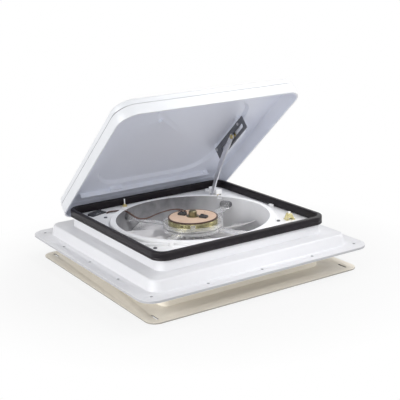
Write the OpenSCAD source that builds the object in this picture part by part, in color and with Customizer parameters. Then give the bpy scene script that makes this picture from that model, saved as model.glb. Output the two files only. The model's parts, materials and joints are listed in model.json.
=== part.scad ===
// Caravan roof vent: lifting lid on a screwed roof flange, with a motor fan in a round duct.
// Millimetres, +Z up, flange underside at zero, lid hinge on the +Y side.

/* [Opening] */
// Width of the square roof opening that the neck and the collar pass
opening_w = 356; // [352:1:360]

/* [Base] */
// Width of the flange outside the step's top edge
flange_lip = 33.4; // [32:0.2:36]
// Thickness of the roof flange
flange_t = 5; // [4:0.5:6]
// Corner radius of the roof flange
flange_r = 30; // [26:1:34]
// Radius of the flange screw holes
hole_r = 2.5; // [2:0.1:3]
// Distance of the corner screw holes from the flange's edges
corner_in = 23.4; // [22:0.2:24]
// Distance of the side screw holes from the flange's edge
hole_in = 17.2; // [15:0.2:19]
// Distance of the step's top edge outside the roof opening
step_out = 32.6; // [32:0.2:34]
// Height of the step's ledge above the roof
step_h = 25; // [24:0.5:25.5]
// Spread of the step's wall from top to foot
step_draft = 4.8; // [3:0.2:6]
// Depth of the neck below the roof face
neck_drop = 38; // [36:0.5:39]

/* [Seal] */
// Distance of the seal's outer face outside the roof opening
seal_out = 7.4; // [7:0.1:8]
// Height of the rubber seal
seal_h = 15.5; // [14:0.5:16]
// Height of the seal's top above the roof
seal_top = 60.3; // [60:0.1:61]

/* [Shroud] */
// Height of the deck's face above the roof
deck_z = 44; // [43.6:0.1:44.2]
// Distance of the duct's inside wall from the roof opening's edge
duct_in = 27.5; // [27:0.1:28]
// Width of the rim round the duct
rim_w = 12.3; // [11.5:0.1:12.5]
// Height of the rim above the deck
rim_h = 5.8; // [5:0.1:6]

/* [Lid] */
// Distance of the lid's side outside the seal
lid_over = 10.6; // [10.1:0.1:11.1]
// Height of the lid's skirt
lid_skirt = 34; // [33:0.2:34.6]
// Wall thickness of the lid
lid_t = 2.7; // [2.4:0.1:3]
// Corner radius of the lid
lid_r = 36.8; // [34:0.4:40]
// Corner radius of the raised panel in the lid's roof
dish_r = 68; // [50:1:80]
// Height of the raised panel
dish_h = 7; // [6:0.5:9]
// Angle at which the lid stands open
lid_open = 40.2; // [38:0.2:42]

/* [Lift] */
// Thickness of the lift arm
arm_t = 3; // [2.5:0.1:3.2]
// Radius of the slider in the slot
slider_r = 3.6; // [3.2:0.1:3.8]
// Thickness of the slotted plate
plate_t = 2.2; // [1.8:0.1:2.4]
// Width of the slot in the plate
slot_w = 9; // [8.8:0.1:9.4]
// Teeth on the lift gear
gear_n = 14; // [14:1:14]

/* [Fan] */
// Radius of the motor can
can_r = 48.3; // [46:0.2:49]
// Gap between fan tips and duct
tip_gap = 4.5; // [3:0.25:7]
// Number of fan blades
blades = 10; // [8:1:10]
// Radius of the motor shaft
shaft_r = 4; // [3.5:0.1:4.5]

/* [Garnish] */
// Width of the garnish's plate outside its collar
garnish_lip = 53.2; // [50:0.2:55]
// Height of the garnish's collar above its plate
collar_h = 30; // [26:0.5:34]

/* [Hidden] */
// clearances and small sizes
pin_gap = 0.05;
run_gap = 0.4;
seat_gap = 0.15;
wall_t = 2.5;
// widths that follow the roof opening
half_w = opening_w / 2;
neck_half = half_w - 6;
collar_half = half_w - 3;
duct_r = half_w - duct_in;
rim_r = duct_r + rim_w;
seal_w = opening_w + 2 * seal_out;
lid_w = seal_w + 2 * lid_over;
step_w = opening_w + 2 * step_out;
flange_w = step_w + 2 * flange_lip;
garnish_w = 2 * (collar_half + garnish_lip);
hole_corner = flange_w / 2 - corner_in;
hole_side = flange_w / 2 - hole_in;
hole_step = hole_side / 2;
// shift of the deck's small pieces against a duct of 150.5 mm radius
grow = duct_r - 150.5;
// base section
riser_t = 3;
step_r = 19;
ledge_t = 3;
seal_leg = 4.75;
seal_in = 1.85;
seal_r = 26;
wall_half = seal_w / 2 - seal_leg - seat_gap;
wall_r = seal_r - seal_leg - seat_gap;
wall_top = seal_top - 3.2;
neck_r = 14;
// shroud
deck_t = 2.5;
deck_half = wall_half - wall_t - 0.3;
deck_r = wall_r - wall_t - 0.3;
rim_z = deck_z + rim_h;
duct_low = -26;
panel_top = -27.5;
panel_t = 2.5;
panel_low = panel_top - panel_t;
post_r = 5;
pin_at = at(-62, 168);
sensor_at = at(145, -120);
bar_at = at(-139, -102);
bar_az = -38.5;
// lid in its shut place
lid_gap = 0.3;
lid_top = seal_top + lid_gap + lid_t;
lid_rim = lid_top - lid_skirt;
groove_h = 20;
groove_d = 1.2;
edge_r = 6;
dish_half = lid_w / 2 - 57;
slope = 5;
hinge_y = lid_w / 2 + 5.3;
hinge_z = 33.5;
barrel_r = 4.5;
hinge_r = 2;
hinge_x = lid_w / 2 - 99;
barrel_l = 22;
ear_t = 5;
// lift train
pivot_y = hinge_y - 0.215 * lid_w;
pivot_z = 47;
arm_x = 120.5 + grow;
plate_x = arm_x + arm_t + 1.3;
plate_n0 = 3.2;
plate_n1 = 29.7;
plate_w0 = 144 * lid_w / 392;
slot_n = 14.5;
screw_n = 24.4;
slide_w = 0.56 * lid_w;
slide_n = 14.2;
reach = duct_r - 2.6;
plate_w1 = lid_w / 2 + sqrt(pow(reach, 2) - pow(plate_x + plate_t, 2));
slot_w0 = plate_w0 + 20;
slot_w1 = plate_w1 - 7.8;
screw_w = [plate_w0 + 5, plate_w1 - 21.8];
rib_x = plate_x + 6.2;
rib_t = 7;
rib_y = sqrt(pow(reach, 2) - pow(rib_x + rib_t, 2));
sl = [lid_w / 2 - slide_w - hinge_y, lid_rim + slide_n - hinge_z];
slide_y = hinge_y + sl[0] * cos(lid_open) + sl[1] * sin(lid_open);
slide_z = hinge_z - sl[0] * sin(lid_open) + sl[1] * cos(lid_open);
arm_l = norm([slide_y - pivot_y, slide_z - pivot_z]);
arm_a = atan2(slide_z - pivot_z, pivot_y - slide_y);
bow = 6;
bow_r = (arm_l * arm_l / 4 + bow * bow) / (2 * bow);
arm_half = 4.2;
tip_half = 5.4;
axle_r = 3;
gear_m = 1.4;
gear_r = gear_m * gear_n / 2;
gear_tip = gear_r + 1;
gear_x = arm_x + 10.5;
gear_t = 5;
worm_r = 4.4;
worm_tip = 5.3;
worm_y = pivot_y + gear_r + worm_r;
worm_p = PI * gear_m;
cover_x0 = arm_x + 3.8;
cover_x1 = cover_x0 + 13.5;
cover_y0 = pivot_y - 13.4;
cover_top = seal_top - 0.5;
crank_r = 2.6;
knob_top = -31.5;
knob_low = -42;
posts = [[-gear_x - 1, worm_y - 13.7], at(121.5, -116), at(-149, -111.5)];
// motor
can_low = 32.9;
can_top = 47.3;
plate_top = 49.8;
ring_r = 59;
ring_low = 25.7;
ring_top = 40.9;
spoke_az = 30;
block_z = 35;
// fan
tip_r = duct_r - tip_gap;
hub_r = 30;
fan_top = 22;
fan_low = -16;
// garnish
collar_in = neck_half + 0.4;
garnish_top = -41.3;
garnish_low = -44.3;
lip_half = collar_half - 12;
// lead routes
lead_r = 1.1;
lead_sep = 2.7;
lead_route = [[-127, 140, -10.8], [-124, 146, 5], [-117, 150, 28], [-114, 149, 40], [-111, 147.5, 45.4],
  [-104, 144, 46.6], [-96, 141.5, 46.6], [-87, 137.6, 46.6], [-80, 127.5, 46.4], [-76, 119, 43],
  [-69, 109, 36], [-62, 104, 32.6], [-52, 101, 31.4], [-42, 98, 33.4], [-31, 91, 39],
  [-17, 76, 46.5], [-7, 61, 51.6], [1, 47, 53], [4, 36.9, 52]];
lead_a = [for (q = lead_route) concat(at(q[0], q[1]), q[2])];
lead_n = len(lead_a);
lead_b = concat([for (i = [0:lead_n - 3]) lead_a[i] + lead_sep * beside(lead_a, i)], [[-5, 47, 53], [-4, 36.9, 52]]);

// place on the deck: outside the motor it keeps its distance from the duct's rim, over the motor it stays
function at(x, y) = let (r = norm([x, y])) [x, y] * (1 + grow * min(max((r - 40) / 60, 0), 1) / r);

// shared shapes

module rsq(w, r) {
  square([w - 2 * r, w], center = true);
  square([w, w - 2 * r], center = true);
  for (x = [-1, 1]) for (y = [-1, 1]) translate([x * (w / 2 - r), y * (w / 2 - r)]) circle(r = r, $fn = 64);
}

module rslab(w, r, z0, z1) {
  translate([0, 0, z0]) linear_extrude(z1 - z0) rsq(w, r);
}

module rring(w, r, t, z0, z1) {
  translate([0, 0, z0]) linear_extrude(z1 - z0) difference() {
    rsq(w, r);
    rsq(w - 2 * t, r - t);
  }
}

// carries a section round a square with rounded corners, x counted from the corner's centre
module rsweep(half, r) {
  for (a = [0:90:270]) rotate(a) {
    translate([half - r, 0, 0]) rotate([90, 0, 0]) linear_extrude(2 * (half - r), center = true) children();
    translate([half - r, half - r, 0]) rotate_extrude(angle = 90, $fn = 96) children();
  }
}

module box(a, b) {
  translate(a) cube([b[0] - a[0], b[1] - a[1], b[2] - a[2]]);
}

module xrod(x0, x1, y, z, r) {
  translate([x0, y, z]) rotate([0, 90, 0]) cylinder(r = r, h = x1 - x0, $fn = 48);
}

// takes a piece from the lid's shut place to the open place
module opened() {
  translate([0, hinge_y, hinge_z]) rotate([-lid_open, 0, 0]) translate([0, -hinge_y, -hinge_z]) children();
}

// lid coordinates: w runs forward from the rear face, n up from the rim
module lidbox(x0, x1, w0, w1, n0, n1) {
  box([x0, lid_w / 2 - w1, lid_rim + n0], [x1, lid_w / 2 - w0, lid_rim + n1]);
}

function unit(v) = v / norm(v);
function along(p, i) = unit(p[min(i + 1, len(p) - 1)] - p[max(i - 1, 0)]);
function beside(p, i) = unit(cross(along(p, i), [0, 0, 1]));
function ring(p, i, r, s) = let (t = along(p, i), a = unit(cross(t, [0.31, 0.22, 0.92])), b = cross(t, a))
  [for (k = [0:s - 1]) p[i] + r * (cos(360 * k / s) * a + sin(360 * k / s) * b)];
function smooth(p) = [for (i = [0:len(p) - 2]) each let (a = p[max(i - 1, 0)], b = p[i], c = p[i + 1],
  d = p[min(i + 2, len(p) - 1)]) [for (t = [0, 0.5]) 0.5 * (2 * b + (c - a) * t + (2 * a - 5 * b + 4 * c - d) * t * t
  + (3 * b - a - 3 * c + d) * t * t * t)], p[len(p) - 1]];
function skin(m, s) = concat([for (i = [0:m - 2]) for (k = [0:s - 1]) let (n = (k + 1) % s)
  each [[i * s + k, (i + 1) * s + k, i * s + n], [i * s + n, (i + 1) * s + k, (i + 1) * s + n]]],
  [[for (k = [0:s - 1]) k]], [[for (k = [s - 1:-1:0]) (m - 1) * s + k]]);

module tube(p, r) {
  q = smooth(p);
  polyhedron([for (i = [0:len(q) - 1]) each ring(q, i, r, 8)], skin(len(q), 8), convexity = 6);
}

// base

module base_frame() {
  foot = step_r + step_draft;
  color("white") difference() {
    union() {
      difference() {
        rslab(flange_w, flange_r, 0, flange_t);
        rslab(step_w - 2 * riser_t, step_r - riser_t, -1, flange_t + 1);
      }
      rsweep(step_w / 2, step_r) polygon([[step_r - riser_t, 0], [foot, 0], [foot, flange_t],
        [step_r + 0.6, step_h - 2.5], [step_r - 1, step_h - 0.6], [step_r - 2, step_h], [step_r - riser_t - 1, step_h],
        [step_r - riser_t - 1, step_h - ledge_t]]);
      difference() {
        rslab(step_w - 2 * riser_t, step_r - riser_t, step_h - ledge_t, step_h);
        rslab(2 * (neck_half - wall_t), neck_r - wall_t, step_h - ledge_t - 1, step_h + 1);
      }
      rring(2 * wall_half, wall_r, wall_t, step_h - 1, wall_top);
      rring(2 * neck_half, neck_r, wall_t, -neck_drop, step_h - 1);
      for (a = [0:90:270]) rotate(a) for (y = [-0.64, 0, 0.64] * neck_half)
        box([neck_half - 1, y - 1.25, flange_t], [step_w / 2 - riser_t + 1, y + 1.25, step_h - 1]);
      for (s = [-1, 1]) for (e = [-1, 1])
        translate([s * hinge_x + e * (barrel_l / 2 + run_gap + ear_t / 2) - ear_t / 2, 0, 0]) {
          xrod(0, ear_t, hinge_y, hinge_z, barrel_r);
          box([0, hinge_y - barrel_r, step_h - 1], [ear_t, hinge_y + barrel_r, hinge_z]);
        }
    }
    for (x = [-1, 1]) for (y = [-1, 1]) {
      translate([x * hole_corner, y * hole_corner, -1]) cylinder(r = hole_r, h = flange_t + 2, $fn = 32);
      translate([x * hole_step, y * hole_side, -1]) cylinder(r = hole_r, h = flange_t + 2, $fn = 32);
      translate([x * hole_side, y * hole_step, -1]) cylinder(r = hole_r, h = flange_t + 2, $fn = 32);
    }
    for (a = [0:90:270]) rotate(a) translate([hole_side, 0, -1]) cylinder(r = hole_r, h = flange_t + 2, $fn = 32);
    for (s = [-1, 1]) xrod(s * hinge_x - 30, s * hinge_x + 30, hinge_y, hinge_z, hinge_r + pin_gap);
  }
}

module dome_seal() {
  wide = seal_leg + seal_in + wall_t + 2 * seat_gap;
  round_r = 3;
  color("black") rsweep(seal_w / 2, seal_r) difference() {
    translate([seal_r - wide, seal_top - seal_h]) union() {
      square([wide, seal_h - round_r]);
      translate([round_r, 0]) square([wide - 2 * round_r, seal_h]);
      for (x = [round_r, wide - round_r]) translate([x, seal_h - round_r]) circle(r = round_r, $fn = 48);
    }
    translate([seal_r - seal_leg - wall_t - 2 * seat_gap, seal_top - seal_h - 1])
      square([wall_t + 2 * seat_gap, wall_top + seat_gap - seal_top + seal_h + 1]);
  }
}

module fan_shroud() {
  color("whitesmoke") difference() {
    union() {
      rslab(2 * deck_half, deck_r, deck_z - deck_t, deck_z);
      rring(2 * deck_half, deck_r, wall_t, step_h, deck_z - deck_t + 0.5);
      rotate_extrude($fn = 180) union() {
        translate([duct_r - 1, deck_z - deck_t]) square([rim_r - 2.5 - duct_r + 1, rim_h + deck_t]);
        translate([duct_r - 1, deck_z - deck_t]) square([rim_r - duct_r + 1, rim_h + deck_t - 2.5]);
        translate([rim_r - 2.5, rim_z - 2.5]) circle(r = 2.5, $fn = 48);
        translate([duct_r - 1, duct_low]) square([1 + wall_t, deck_z - duct_low]);
      }
      translate(concat(bar_at, deck_z - 0.5)) rotate(bar_az) box([-22, -2.5, 0], [22, 2.5, 4.5]);
      translate(concat(at(136.8, 160), deck_z - 0.5)) cylinder(r = 4, h = 5.5, $fn = 48);
      for (p = posts) translate([p[0], p[1], panel_top]) cylinder(r = post_r, h = deck_z - panel_top - 1, $fn = 48);
    }
    translate([0, 0, duct_low - 1]) cylinder(r = duct_r, h = rim_z - duct_low + 2, $fn = 180);
    box([arm_x - 1.3, pivot_y - 39, deck_z], [arm_x + arm_t + 1.3, pivot_y + 9, rim_z + 2]);
    translate([0, 0, deck_z - deck_t - 1]) {
      box([arm_x - 1.3, pivot_y - 14, 0], [arm_x + arm_t + 1.3, pivot_y + 9, deck_t + 2]);
      box([gear_x - gear_t / 2 - 0.8, pivot_y - gear_tip - 0.8, 0], [gear_x + gear_t / 2 + 0.8, worm_y, deck_t + 2]);
      translate([gear_x, worm_y, 0]) cylinder(r = worm_tip + 0.5, h = deck_t + 2, $fn = 48);
    }
    box([cover_x0 - 0.3, cover_y0 - 3.6, deck_z], [cover_x1, worm_y + 9.8, rim_z + 2]);
    rotate(122.7) box([duct_r - 3, -3.6, rim_z - 5], [rim_r + 3, 3.6, rim_z + 2]);
    translate(concat(at(-113, 147), deck_z - deck_t - 1)) cylinder(r = 4.6, h = deck_t + 2, $fn = 32);
    translate(concat(pin_at, deck_z - deck_t - 1)) cylinder(r = 3.2, h = deck_t + 2, $fn = 32);
    for (p = posts) translate([p[0], p[1], deck_z - 15]) cylinder(r = 1.75, h = 20, $fn = 32);
  }
}

module deck_screws() {
  color("dimgray") for (p = posts) translate([p[0], p[1], deck_z]) difference() {
    union() {
      cylinder(r = 3.4, h = 1.8, $fn = 32);
      translate([0, 0, -12]) cylinder(r = 1.7, h = 13, $fn = 24);
    }
    for (a = [0, 90]) rotate(a) box([-2, -0.4, 0.9], [2, 0.4, 3]);
  }
}

module deck_bracket() {
  color("gray") translate(concat(at(-131, 152.5), deck_z)) rotate(20) difference() {
    union() {
      box([-22, -8, 0], [16, 8, 2]);
      box([-22, 6.2, 0], [16, 8, 5]);
    }
    box([-8, -3, -1], [10, 3, 3]);
    translate([-15.5, 0, -1]) cylinder(r = 2.4, h = 4, $fn = 32);
  }
}

module deck_clips() {
  color("white") {
    translate(concat(at(169.5, -29), deck_z)) box([-2.5, -5, 0], [2.5, 5, 6]);
    translate(concat(bar_at, deck_z)) rotate(bar_az) translate([26, -0.5, 0]) rotate(45 - bar_az) box([-3.5, -2.5, 0], [3.5, 2.5, 8.5]);
  }
}

module rain_sensor() {
  color("orange") translate(concat(sensor_at, deck_z)) rotate(-15) difference() {
    union() {
      box([-9.5, -6.5, 0], [9.5, 6.5, 2]);
      translate([0, 6, 0]) rotate([90, 0, 0]) linear_extrude(12)
        polygon([[-8.5, 0], [8.5, 0], [6.5, 6], [3.4, 12.4], [-3.4, 12.4], [-6.5, 6]]);
    }
    box([-4.6, -9, -1], [4.6, 9, 5]);
  }
}

module sensor_tip() {
  color("white") translate(concat(sensor_at, deck_z + 12.4)) cylinder(r = 2.6, h = 3, $fn = 32);
}

module switch_foot() {
  color("gold") translate(concat(pin_at, deck_z)) difference() {
    union() {
      cylinder(r = 5, h = 2.4, $fn = 40);
      cylinder(r = 2.8, h = 5, $fn = 40);
      translate([0, 0, -12]) cylinder(r = 3, h = 13, $fn = 40);
    }
    translate([0, 0, -9]) cylinder(r = 1.25, h = 20, $fn = 32);
  }
}

module switch_pin() {
  color("white") translate(concat(pin_at, deck_z - 5)) cylinder(r = 1.2, h = seal_top - deck_z + 4.6, $fn = 32);
}

// lid

module lid_edge() {
  outer = lid_r - groove_d;
  difference() {
    union() {
      translate([outer - lid_t, 0]) square([lid_t + groove_d, groove_h]);
      translate([outer - lid_t, 0]) square([lid_t, lid_skirt - edge_r]);
      translate([outer - edge_r - 1, lid_skirt - lid_t]) square([1.01, lid_t]);
      translate([outer - edge_r, lid_skirt - edge_r]) intersection() {
        circle(r = edge_r, $fn = 64);
        square(edge_r);
      }
    }
    translate([outer - edge_r, lid_skirt - edge_r]) circle(r = edge_r - lid_t, $fn = 64);
    translate([outer - 0.9, groove_h]) square([2, 1.1]);
  }
}

module lid_shell() {
  roof = lid_w - 2 * (groove_d + edge_r);
  roof_r = lid_r - groove_d - edge_r;
  low = lid_top - lid_t;
  color("white") opened() difference() {
    union() {
      translate([0, 0, lid_rim]) rsweep(lid_w / 2, lid_r) lid_edge();
      difference() {
        rslab(roof, roof_r, low, lid_top);
        rslab(2 * dish_half - 1, dish_r - 0.5, low - 1, lid_top + 1);
      }
      translate([0, 0, low]) rsweep(dish_half, dish_r) polygon([[dish_r - slope - 1, dish_h], [dish_r - 1, 0], [dish_r + 1, 0],
        [dish_r + 1, lid_t], [dish_r, lid_t], [dish_r - slope, dish_h + lid_t], [dish_r - slope - 1, dish_h + lid_t]]);
      rslab(2 * (dish_half - slope) - 1, dish_r - slope - 0.5, low + dish_h, lid_top + dish_h);
      lidbox(-154, 154, 38, 40.4, lid_skirt - lid_t - 10.2, lid_skirt - 1);
      lidbox(-89, -61, 36, 48, lid_skirt - lid_t - 8, lid_skirt - 1);
      lidbox(140, 149, 33, 46, lid_skirt - lid_t - 8, lid_skirt - 1);
      intersection() {
        union() {
          rslab(roof, roof_r, lid_rim, lid_top - 1);
          rslab(2 * (dish_half - slope), dish_r - slope, lid_top - 2, lid_top + dish_h - 1.5);
        }
        union() {
          translate([-78, lid_w / 2 - 323, low + dish_h - 4]) cylinder(r = 4, h = 8, $fn = 40);
          translate([-62, lid_w / 2 - 286, low + dish_h - 4]) cylinder(r = 4, h = 8, $fn = 40);
          box([rib_x, -rib_y, lid_rim + 6], [rib_x + rib_t, rib_y, lid_top + dish_h]);
          for (w = screw_w) lidbox(plate_x + plate_t, rib_x + 1, w - 5, w + 6, 21.2, lid_skirt + dish_h);
        }
      }
      for (s = [-1, 1]) translate([s * hinge_x - barrel_l / 2, 0, 0]) {
        xrod(0, barrel_l, hinge_y, hinge_z, barrel_r);
        box([0, lid_w / 2 - 1.5, lid_rim], [barrel_l, hinge_y, hinge_z + barrel_r]);
      }
    }
    for (s = [-1, 1]) xrod(s * hinge_x - 30, s * hinge_x + 30, hinge_y, hinge_z, hinge_r + pin_gap);
    for (w = screw_w) xrod(plate_x, rib_x - 0.5, lid_w / 2 - w, lid_rim + screw_n, 1.65);
  }
}

module hinge_pins() {
  l = barrel_l + 2 * run_gap + 2 * ear_t;
  color("silver") for (s = [-1, 1]) {
    xrod(s * hinge_x - l / 2 - 1.6, s * hinge_x + l / 2 + 1, hinge_y, hinge_z, hinge_r);
    xrod(s * hinge_x - l / 2 - 1.6, s * hinge_x - l / 2, hinge_y, hinge_z, hinge_r + 1.4);
  }
}

module slot_plate() {
  color("dimgray") opened() difference() {
    lidbox(plate_x, plate_x + plate_t, plate_w0, plate_w1, plate_n0, plate_n1);
    lidbox(plate_x - 1, plate_x + plate_t + 1, slot_w0 + slot_w / 2, slot_w1 - slot_w / 2, slot_n - slot_w / 2, slot_n + slot_w / 2);
    for (w = [slot_w0 + slot_w / 2, slot_w1 - slot_w / 2])
      xrod(plate_x - 1, plate_x + plate_t + 1, lid_w / 2 - w, lid_rim + slot_n, slot_w / 2);
    for (w = screw_w) xrod(plate_x - 1, plate_x + plate_t + 1, lid_w / 2 - w, lid_rim + screw_n, 1.65);
  }
}

module plate_screws() {
  color("silver") opened() for (w = screw_w) {
    xrod(plate_x - 0.9, plate_x, lid_w / 2 - w, lid_rim + screw_n, 3);
    xrod(plate_x - 0.5, rib_x - 1, lid_w / 2 - w, lid_rim + screw_n, 1.6);
  }
}

// lift train

module on_arm() {
  translate([0, pivot_y, pivot_z]) rotate([-arm_a, 0, 0]) children();
}

// flat bowed strip between two fractions of the arm's length, from the pivot at the origin to the slider on -Y
module bowed(f0, f1, half) {
  span = 2 * asin(arm_l / 2 / bow_r);
  translate([arm_x, -arm_l / 2, bow - bow_r]) rotate([90, 0, 90]) rotate(90 - span / 2 + span * f0)
    rotate_extrude(angle = span * (f1 - f0), $fn = 180) translate([bow_r - half, 0]) square([2 * half, arm_t]);
}

module lift_arm() {
  color("lightgray") on_arm() difference() {
    union() {
      bowed(0, 0.3, arm_half);
      bowed(0.28, 1, tip_half);
      xrod(arm_x, arm_x + arm_t, 0, 0, 5);
      xrod(arm_x, arm_x + arm_t, -arm_l, 0, 6);
    }
    xrod(arm_x - 1, arm_x + arm_t + 1, 0, 0, axle_r + pin_gap);
    xrod(arm_x - 1, arm_x + arm_t + 1, -arm_l, 0, slider_r + pin_gap);
  }
}

module slider_pin() {
  color("goldenrod") on_arm() {
    xrod(arm_x - 1.6, arm_x, -arm_l, 0, 4.6);
    xrod(arm_x - 1, plate_x + plate_t + 1.8, -arm_l, 0, slider_r);
    xrod(plate_x + plate_t + 0.5, plate_x + plate_t + 1.8, -arm_l, 0, 5.6);
  }
}

module arm_shaft() {
  color("silver") difference() {
    union() {
      xrod(arm_x - 1.2, cover_x1 + 1.5, pivot_y, pivot_z, axle_r);
      xrod(arm_x - 1.2, arm_x, pivot_y, pivot_z, axle_r + 1.4);
    }
    on_arm() box([arm_x - 3, -2, -0.5], [arm_x - 0.6, 2, 0.5]);
  }
}

module lift_gear() {
  tip = gear_tip;
  root = gear_r - 1.35;
  half = 180 / gear_n;
  color("goldenrod") translate([gear_x - gear_t / 2, pivot_y, pivot_z]) rotate([90, 0, 90]) difference() {
    cylinder(r = tip, h = gear_t, $fn = 96);
    for (i = [0:gear_n - 1]) rotate(i * 360 / gear_n) translate([0, 0, -1]) linear_extrude(gear_t + 2)
      polygon([[root, -gear_r * sin(half) + 1.15], [root, gear_r * sin(half) - 1.15], [gear_r, gear_r * sin(half) - 0.8],
        [tip + 1, tip * sin(half) - 0.25], [tip + 1, 0.25 - tip * sin(half)], [gear_r, 0.8 - gear_r * sin(half)]]);
    translate([0, 0, -1]) cylinder(r = axle_r + pin_gap, h = gear_t + 2, $fn = 48);
  }
}

module lift_cover() {
  color("white") difference() {
    union() {
      box([cover_x0, cover_y0, deck_z], [cover_x1, worm_y, cover_top]);
      translate([(cover_x0 + cover_x1) / 2, worm_y, deck_z]) cylinder(r = (cover_x1 - cover_x0) / 2, h = cover_top - deck_z, $fn = 64);
      box([cover_x1 - 1, worm_y - 10, deck_z], [cover_x1 + 9, worm_y + 2, deck_z + 2.2]);
    }
    box([cover_x0 + 1.6, cover_y0 + 1.6, deck_z - 1], [cover_x1 - 1.6, worm_y, cover_top - 1.2]);
    translate([gear_x, worm_y, deck_z - 1]) cylinder(r = worm_tip + 0.25, h = cover_top - deck_z - 0.2, $fn = 48);
    translate([0, 0, deck_z - 1]) cylinder(r = rim_r + 0.2, h = rim_h + 1.2, $fn = 180);
    xrod(cover_x0 - 1, cover_x1 + 1, pivot_y, pivot_z, axle_r + pin_gap);
    box([cover_x0 + 1.6, cover_y0 - 1, deck_z - 1], [cover_x1 - 1.6, cover_y0 + 3, rim_z + 0.3]);
  }
}

module crank_bearing() {
  under = deck_z - deck_t;
  color("gainsboro") difference() {
    box([gear_x - 9, worm_y - 11, 20], [gear_x + 9, worm_y + 11, under]);
    box([gear_x - 6.2, worm_y - 12, 31], [gear_x + 6.2, worm_y + 12, under + 1]);
    translate([gear_x, worm_y, 19]) cylinder(r = crank_r + pin_gap, h = 20, $fn = 48);
    translate([0, 0, 19]) cylinder(r = duct_r + wall_t + 0.2, h = 40, $fn = 180);
  }
}

// worm thread swept round the shaft, one turn for each tooth of the gear
function thread(turns, steps) = [for (i = [0:turns * steps]) let (a = 360 * i / steps, z = worm_p * i / steps)
  each [[2.3 * cos(a), 2.3 * sin(a), z - 0.95], [2.3 * cos(a), 2.3 * sin(a), z + 0.95],
  [worm_tip * cos(a), worm_tip * sin(a), z + 0.38], [worm_tip * cos(a), worm_tip * sin(a), z - 0.38]]];

module crank_shaft() {
  turns = 4;
  steps = 18;
  color("silver") translate([gear_x, worm_y, 0]) {
    translate([0, 0, knob_low + 4]) cylinder(r = crank_r, h = cover_top - 1.7 - knob_low - 4, $fn = 48);
    translate([0, 0, pivot_z - turns * worm_p / 2]) rotate(-90)
      polyhedron(thread(turns, steps), skin(turns * steps + 1, 4), convexity = 10);
    translate([0, 0, 31.3]) cylinder(r = 5, h = 2.4, $fn = 48);
  }
}

module crank_knob() {
  color("whitesmoke") translate([gear_x, worm_y, 0]) difference() {
    union() {
      translate([0, 0, knob_low]) cylinder(r = 15, h = knob_top - knob_low - 3, $fn = 64);
      translate([0, 0, knob_low]) cylinder(r = 7, h = knob_top - knob_low, $fn = 64);
    }
    for (a = [0:45:315]) rotate(a) translate([17, 0, knob_low - 1]) cylinder(r = 4, h = 20, $fn = 32);
    translate([0, 0, knob_low + 3.5]) cylinder(r = crank_r + 0.02, h = 20, $fn = 48);
  }
}

// motor

module motor_mount() {
  bore = 13;
  color("lightcyan") difference() {
    union() {
      rotate_extrude($fn = 120) union() {
        translate([ring_r - 3, ring_low]) square([3, ring_top - ring_low]);
        translate([bore, can_low - 2.5]) square([ring_r - bore - 1, 2.5]);
      }
      for (i = [0:3]) rotate(spoke_az + 90 * i) {
        box([ring_r - 2, -7, ring_low + 0.3], [duct_r - 5.5, 7, ring_low + 4.3]);
        box([duct_r - 8, -10, ring_low + 0.3], [duct_r - 5.5, 10, block_z + 6.5]);
        rotate(28) box([can_r + 0.3, -4.5, can_low - 2], [ring_r - 1, 4.5, can_top - 2]);
      }
    }
    translate([0, 0, ring_low - 1]) cylinder(r = bore, h = 20, $fn = 64);
  }
}

module mount_blocks() {
  color("black") for (i = [0:3]) rotate(spoke_az + 90 * i) intersection() {
    translate([duct_r - 5.5, 0, block_z]) rotate([0, 90, 0]) linear_extrude(8) union() {
      square([13, 13], center = true);
      for (s = [-1, 1]) translate([0, s * 6.5]) circle(r = 6.5, $fn = 48);
    }
    cylinder(r = duct_r, h = 80, $fn = 180);
  }
}

module motor_can() {
  color("khaki") difference() {
    union() {
      translate([0, 0, can_low]) cylinder(r = can_r, h = can_top - can_low, $fn = 120);
      translate([0, 0, can_low - 4.5]) cylinder(r = 11, h = 5, $fn = 64);
    }
    translate([0, 0, can_low - 6]) cylinder(r = shaft_r + pin_gap, h = can_top - can_low + 4, $fn = 48);
  }
}

module brush_plate() {
  color("tan") difference() {
    translate([0, 0, can_top]) cylinder(r = can_r + 0.6, h = plate_top - can_top, $fn = 120);
    for (a = [20, 200]) rotate(a) translate([38, 0, can_top - 1]) cylinder(r = 2, h = 6, $fn = 32);
  }
}

module bearing_cap() {
  color("gold") translate([0, 0, plate_top]) rotate_extrude($fn = 64)
    polygon([[0, 0], [12, 0], [12, 1.4], [8.2, 2], [8, 10], [6.6, 11.6], [0, 12.2]]);
}

module brush_terminals() {
  color("saddlebrown") for (x = [-4, 4]) translate([x, 35, plate_top]) union() {
    box([-2.4, -3.4, 0], [2.4, 2, 0.8]);
    box([-1.6, 0.4, 0], [1.6, 1.6, 3.6]);
  }
}

module brush_spring() {
  color("black") for (a = [118, 298]) rotate(a) translate([24, 0, plate_top]) union() {
    box([-8, -5, 0], [8, 5, 4.6]);
    translate([-3, 0, 4]) cylinder(r = 3.4, h = 2.6, $fn = 40);
  }
}

module motor_leads() {
  color("saddlebrown") {
    tube(lead_a, lead_r);
    tube(lead_b, lead_r);
  }
}

// fan

function blade_pt(j, k, top) = let (f = j / 6, c = k / 6 - 0.5, r = hub_r - 2 + (tip_r - hub_r + 2) * f,
  a = (30 - 2 * f) * c + 10 * f * f, z = 3 - (31 - 9 * f) * c - 5 * (0.25 - c * c) * 4 * 0.5 + 2 * f)
  [r * cos(a), r * sin(a), z + (top ? 0.9 : -0.9)];

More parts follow.
